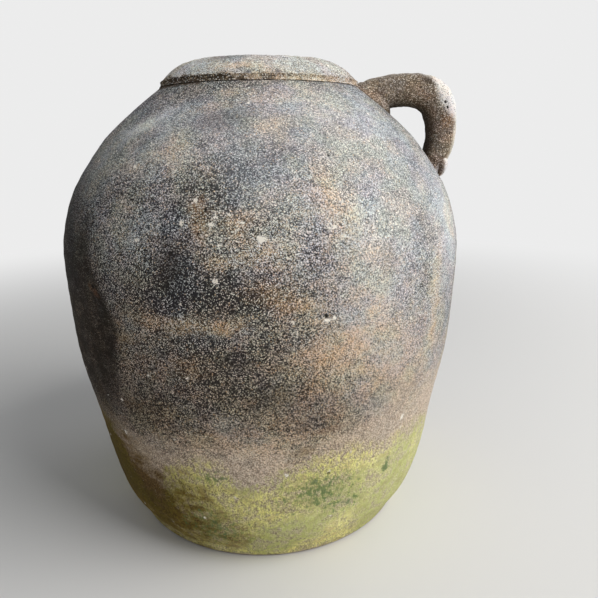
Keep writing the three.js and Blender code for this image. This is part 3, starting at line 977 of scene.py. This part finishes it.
def shapeRim(collar):
    points = readPoints(collar)
    turns, heights, radii = turnsAndHeights(points)
    band = jar["neck"] + rim["bandHeight"]
    weights = smoothShare(heights, jar["neck"] + 0.3 * mm, jar["neck"] + 2 * mm)
    weighRelief(collar, weights)
    for size, depth in zip(rim["reliefSizes"], rim["reliefDepths"]):
        roughen(collar, size, depth)
    for channel, places in rimStains.items():
        writeChannel(collar, channel, spotted(places, turns, heights, radii))
    # dirt and painted shade fill the band under the bevel, blacker and higher on the side away from the
    # light
    around = np.radians(turns)
    creep = 1.6 * mm + 2.8 * mm * (1 - smoothShare(turns, -66, -44))
    creep += 0.8 * mm * np.sin(around * 17 + np.sin(around * 41))
    bandShare = (1 - smoothShare(heights, band + creep - 3.2 * mm, band + creep)) * (radii > 70 * mm)
    # painted light: the band is less dark towards the light
    lightOnBand = 0.45 * smoothShare(turns, -28, 4) + 0.15 * smoothShare(turns, 5, 40)
    lightOnBand *= 1 - smoothShare(turns, 95, 170)
    writeChannel(collar, "grime", bandShare * (0.96 - lightOnBand))
    tan = spotted(rimStains["tan"], turns, heights, radii)
    writeChannel(collar, "tan", np.maximum(tan, bandShare * 0.9))


# Handle and the clay pressed round its ends

strapLow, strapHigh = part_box("handle_strap")
handle = {
    "thickness": 29 * mm,
    "width": 37.5 * mm,
    "sides": 32,
    "rings": 64,
    "roundness": 0.8,
    "rootDepth": 7 * mm,
    "pitStep": 2.1,  # mm of the strap to a ring
    "pitGirth": 14,  # mm from its middle to its skin
    "reliefSizes": (11 * mm, 4 * mm, 1.6 * mm),
    "reliefDepths": (1.1 * mm, 0.7 * mm, 0.35 * mm),
}
# middle line of the strap, in shares of its own box
handleLine = [
    (0.094, 0.697), (0.16, 0.773), (0.294, 0.826), (0.44, 0.845), (0.58, 0.841), (0.714, 0.804),
    (0.812, 0.704), (0.852, 0.566), (0.863, 0.446), (0.857, 0.337), (0.828, 0.219), (0.771, 0.083),
    (0.72, 0.0),
]
# share of the length, of the width and of the thickness
handleSection = [
    (0, 1.12, 1.26), (0.063, 1.09, 1.18), (0.16, 1.04, 1.02), (0.3, 1.02, 1.0), (0.477, 1, 1.1),
    (0.696, 0.95, 0.93), (0.867, 0.95, 0.85), (0.955, 0.86, 0.72), (1, 0.8, 0.62),
]
# distance out of the shoulder in mm, size as a share of the strap's root
upperWad = [(7.5, 0.8), (6, 0.93), (4, 1.0), (2, 1.07), (0.5, 1.15), (-2, 1.24), (-5, 1.2), (-7, 1.0)]
# radius, height, half width and half thickness in mm, down from the strap's lower end
lowerWad = [
    (155.5, 321, 12, 4.5), (157.5, 317, 17, 7), (158.6, 312.5, 18.5, 7.6), (158.4, 308, 18, 7),
    (157.6, 304, 15.5, 5.6), (156.6, 301, 11.5, 4), (155.6, 299, 7, 2.4),
]
# place along the handle, and how far out on the section its dust and painted light begin
dustAndLightEdge = [
    (0, 0.85), (0.34, 0.78), (0.41, 0.5), (0.46, 0.0), (0.52, -0.2), (0.58, 0.05), (0.66, 0.5),
    (0.85, 0.55), (0.93, 0.2), (1, -0.1), (1.6, 0.0), (2, 0.3),
]
# place along the strap, place round it in degrees from the front edge, radius and depth in mm
handlePits = [
    (0.535, 14, 1.5, 1.5), (0.555, 3, 1.3, 1.3), (0.565, 16, 1.2, 1.1), (0.2, -20, 1.2, 0.7),
    (0.36, 5, 1.3, 0.7), (0.72, 20, 1.1, 0.7), (0.66, 60, 1.2, 0.7), (0.3, 150, 1.5, 0.8),
    (0.62, 165, 1.4, 0.8), (0.45, 120, 1.3, 0.8),
]


def rounded(value):
    return np.sign(value) * np.abs(value) ** handle["roundness"]


def strapRings():
    # centre, turn about Y, half width and half thickness at even steps along the strap
    shares = np.array(handleLine)
    size = strapHigh - strapLow
    radii = strapLow.x + shares[:, 0] * size.x
    heights = strapLow.z + shares[:, 1] * size.z
    knots = np.concatenate([[0], np.cumsum(np.hypot(np.diff(radii), np.diff(heights)))])
    fine = np.linspace(0, knots[-1], 2000)
    x = smoothLine(list(zip(knots, radii)), fine)
    z = smoothLine(list(zip(knots, heights)), fine)
    along = np.concatenate([[0], np.cumsum(np.hypot(np.diff(x), np.diff(z)))])
    steps = np.linspace(0, along[-1], handle["rings"] + 1)
    x, z = np.interp(steps, along, x), np.interp(steps, along, z)
    turns = np.unwrap(np.arctan2(np.gradient(x), np.gradient(z)))
    where, wide, thick = np.array(handleSection).T
    shares = steps / steps[-1]
    wide = smoothLine(list(zip(where, wide)), shares) * handle["width"] / 2
    thick = smoothLine(list(zip(where, thick)), shares) * handle["thickness"] / 2
    return list(zip(x, z, turns, wide, thick))


def loftRings(name, rings):
    # a rounded disc, extruded from ring to ring: moved, turned and resized each time
    x, z, turn, wide, thick = (float(value) for value in rings[0])
    deselectAll()
    bpy.ops.mesh.primitive_circle_add(vertices=handle["sides"], radius=1, fill_type='NGON')
    obj = bpy.context.object
    obj.name = obj.data.name = name
    points = readPoints(obj)
    across, out = rounded(points[:, 1]) * wide, rounded(points[:, 0]) * thick
    points = np.stack([x + out * math.cos(turn), across, z - out * math.sin(turn)], 1)
    writePoints(obj, points)
    editMode(obj, 'FACE')
    bpy.ops.mesh.select_all(action='SELECT')
    for nextRing in rings[1:]:
        x2, z2, turn2, wide2, thick2 = (float(value) for value in nextRing)
        bpy.ops.mesh.extrude_region_move(TRANSFORM_OT_translate={"value": (x2 - x, 0, z2 - z)})
        middle = (x2, 0, z2)
        bpy.ops.transform.rotate(value=turn - turn2, orient_axis='Y', center_override=middle)
        grow = (thick2 / thick, wide2 / wide, thick2 / thick)
        bpy.ops.transform.resize(value=grow, center_override=middle)
        x, z, turn, wide, thick = x2, z2, turn2, wide2, thick2
    pointOutwards()
    return obj


def refine(obj, levels):
    smooth = obj.modifiers.new("smooth", 'SUBSURF')
    smooth.levels = smooth.render_levels = levels
    applyModifier(obj, smooth)


def weatherHandle(obj, rings, shift=0.0, darker=0.0, pits=()):
    # dust and painted light on what faces out past the bend, soot and painted shade underneath, and tan
    # sand between
    # shift is where the piece begins along the whole handle
    points = readPoints(obj)
    centres = np.array([(x, z) for x, z, *_ in rings])
    near = np.argmin(((points[:, None, [0, 2]] - centres) ** 2).sum(2), axis=1)
    turns, wides, thicks = (np.array([ring[i] for ring in rings])[near] for i in (2, 3, 4))
    offset = points[:, [0, 2]] - centres[near]
    out = (offset[:, 1] * np.sin(turns) - offset[:, 0] * np.cos(turns)) / thicks
    across = points[:, 1] / wides
    around = np.degrees(np.arctan2(out, -across))
    along = near / (len(rings) - 1)
    pit = np.zeros(len(points))
    middles = centres[near]
    outward = np.stack([points[:, 0] - middles[:, 0], points[:, 1], points[:, 2] - middles[:, 1]], 1)
    outward /= np.maximum(np.linalg.norm(outward, axis=1), mm)[:, None]
    for share, angle, radius, depth in pits:
        upDown = (along - share) * len(rings) * handle["pitStep"]
        gap = np.hypot(upDown, turnedFrom(around, angle) * handle["pitGirth"])
        reach = np.exp(-(gap / radius) ** 2)
        points -= outward * (reach * depth * mm)[:, None]
        pit = np.maximum(pit, reach * min(1, depth))
    writePoints(obj, points)
    writeChannel(obj, "pit", pit)
    edge = np.interp(along + shift, *np.array(dustAndLightEdge).T)
    # dust, with painted light, on the top and outer faces
    dustAndLight = smoothShare(out, edge - 0.15, edge + 0.5)
    writeChannel(obj, "chalk", dustAndLight * 0.9)
    writeChannel(obj, "wear", dustAndLight * 0.85)
    slate = np.exp(-((along + shift - 0.4) / 0.06) ** 2) * smoothShare(out, 0.1, 0.6) * (1 - dustAndLight)
    # painted shade, with soot, on the underside and the faces towards the jar
    under = smoothShare(-out, 0.35, 1.0) * 0.8
    writeChannel(obj, "soot", np.maximum(np.maximum(under, slate), darker * (1 - dustAndLight)))
    patches = np.exp(-((along - 0.64) / 0.05) ** 2) * smoothShare(np.abs(around - 20), 50, 20)
    writeChannel(obj, "tan", np.maximum(0.22, patches) * (1 - dustAndLight * 0.6))
    writeChannel(obj, "rust", patches * 0.7)
    writeChannel(obj, "earth", 0.6 - dustAndLight * 0.5)


def roughenHandle(obj):
    weighRelief(obj, np.ones(len(obj.data.vertices)))
    for size, depth in zip(handle["reliefSizes"], handle["reliefDepths"]):
        roughen(obj, size, depth)


def makeStrap():
    rings = strapRings()
    strap = loftRings("handleStrap", rings)
    refine(strap, 2)
    roughenHandle(strap)
    weatherHandle(strap, rings, pits=handlePits)
    return strap


def makeUpperWad():
    x, z, turn, wide, thick = strapRings()[0]
    rings = []
    for out, size in upperWad:
        away = handle["rootDepth"] + out * mm
        middle = (x + math.sin(turn) * away, z + math.cos(turn) * away)
        rings.append((*middle, turn, wide * size, thick * size))
    wad = loftRings("upperWad", rings)
    refine(wad, 3)
    roughenHandle(wad)
    weatherHandle(wad, rings, -2)
    return wad


def makeLowerWad():
    x, z, wide, thick = (np.array(lowerWad) * mm).T
    turns = np.unwrap(np.arctan2(np.gradient(x), np.gradient(z)))
    rings = list(zip(x, z, turns, wide, thick))
    wad = loftRings("lowerWad", rings)
    refine(wad, 3)
    roughenHandle(wad)
    weatherHandle(wad, rings, 1, darker=0.3)
    return wad


# Coil pressed into the corner between floor and wall, with the maker's thumb marks

coilLow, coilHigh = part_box("floor_corner_coil")
coil = {
    "columns": 256,
    "marks": 46,
    "markDepth": 0.7 * mm,
    "markFade": 4 * mm,
    # share of the reach from wall to floor edge, share of the height
    "face": [(0, 0), (0.12, 0.1), (0.3, 0.24), (0.52, 0.44), (0.72, 0.68), (0.88, 0.88), (1, 1)],
    "toe": 105.4 * mm,
}


def makeCoil():
    reach, tall = coilHigh.x - coil["toe"], coilHigh.z - coilLow.z
    points = [(coil["toe"] + reach * out, coilLow.z + tall * up) for out, up in coil["face"]]
    heel = float(innerRadius(coilLow.z))
    points += [((heel + coilHigh.x) / 2 - 0.4 * mm, coilLow.z + tall / 2), (heel - 0.4 * mm, coilLow.z)]
    points.append(points[0])
    roll = drawProfile("cornerCoil", points)
    spinProfile(roll, coil["columns"])
    points = readPoints(roll)
    turns, heights, radii = turnsAndHeights(points)
    mark = np.maximum(0, np.sin(np.radians(turns) * coil["marks"])) ** 2
    face = smoothShare(heights, coilLow.z, coilLow.z + coil["markFade"])
    face *= 1 - smoothShare(heights, coilHigh.z - coil["markFade"], coilHigh.z)
    points[:, 2] -= mark * face * coil["markDepth"]
    writePoints(roll, points)
    return roll


# Inside clay: unweathered, with a damp stain low down

innerLook = {
    "dark": paint(120, 96, 78),
    "light": paint(176, 150, 126),
    "damp": paint(92, 76, 62),
    "dampHeight": 0.09,
    "grainScale": 700,
    "patchScale": 24,
    "bumpHeight": 0.4 * mm,
    "bumpStrength": 1.0,
    "roughness": 0.9,
    "specular": 0.5,
}


def makeInnerClay():
    material, tree, coords = newClay("innerClay")
    grain = noiseAt(tree, coords, innerLook["grainScale"], 2)
    patch = noiseAt(tree, coords, innerLook["patchScale"], 5)
    parts = addNode(tree, "SeparateXYZ", {"Vector": coords})
    tone = soften(tree, weighted(tree, [(grain, 0.5), (patch, 0.5)]), 0.38, 0.62)
    surface = blend(tree, tone, innerLook["dark"], innerLook["light"])
    waterLine = calc(tree, 'ADD', parts.outputs["Z"], times(tree, patch, -0.05))
    damp = soften(tree, waterLine, innerLook["dampHeight"], innerLook["dampHeight"] - 0.05, 0.0, 0.7)
    surface = blend(tree, damp, surface, innerLook["damp"])
    finishClay(tree, innerLook, surface, weighted(tree, [(grain, 0.5), (patch, 0.8)]))
    return material


def giveInnerClay(piece, outer, inner):
    # faces well behind the outside, and above the foot, take the inner clay
    piece.data.materials.append(outer)
    piece.data.materials.append(inner)
    count = len(piece.data.polygons)
    centres = np.empty(count * 3)
    piece.data.polygons.foreach_get("center", centres)
    centres = centres.reshape(-1, 3)
    radii = np.hypot(centres[:, 0], centres[:, 1])
    inside = radii < outerRadius(centres[:, 2]) - jar["wall"] * jar["skinShare"]
    inside &= centres[:, 2] > jar["innerStart"]
    piece.data.polygons.foreach_set("material_index", inside.astype(int))
    piece.data.update()


print("drawing the jar")
makeCamera()
makeWorld()
makeFloor()
for lampName, values in lamps.items():
    makeLamp(lampName, **values)

skin = makeSkin()
shapeSkin(skin)
stainBody(skin)
print("outside turned and weathered")

bodyClay = makeClay("bodyClay", bodyLook)
rimClay = makeClay("rimClay", rimLook)
handleClay = makeClay("handleClay", handleLook)
innerClay = makeInnerClay()

slab = copyPiece(skin, "floorSlab")
keepBetween(slab, -1, jar["slabTop"])
closeSlab(slab, jar["slabTop"])
lowerCourse = copyPiece(skin, "lowerCourse")
keepBetween(lowerCourse, jar["slabTop"], jar["seam"])
closeWall(lowerCourse, jar["slabTop"], jar["seam"], jar["innerRows"])
upperCourse = copyPiece(skin, "upperCourse")
keepBetween(upperCourse, jar["seam"], 1)
closeWall(upperCourse, jar["seam"], jar["neck"], jar["innerRows"])
bpy.data.objects.remove(skin)
for piece, node, slot in ((slab, "floor_slab", "mossy_clay"), (lowerCourse, "lower_wall", "body_clay"),
                          (upperCourse, "upper_wall", "body_clay")):
    giveInnerClay(piece, bodyClay, innerClay)
    finishPiece(piece, node)
print("courses closed")

collar = makeRim()
shapeRim(collar)
collar.data.materials.append(rimClay)
finishPiece(collar, "rim_collar")
roll = makeCoil()
roll.data.materials.append(innerClay)
finishPiece(roll, "floor_corner_coil")
print("rim and coil done")

for make, node in ((makeStrap, "handle_strap"), (makeUpperWad, "handle_upper_wad"),
                   (makeLowerWad, "handle_lower_wad")):
    piece = make()
    piece.data.materials.append(handleClay)
    finishPiece(piece, node)
print("handle done")

scene = bpy.context.scene
scene.view_settings.view_transform = 'Standard'
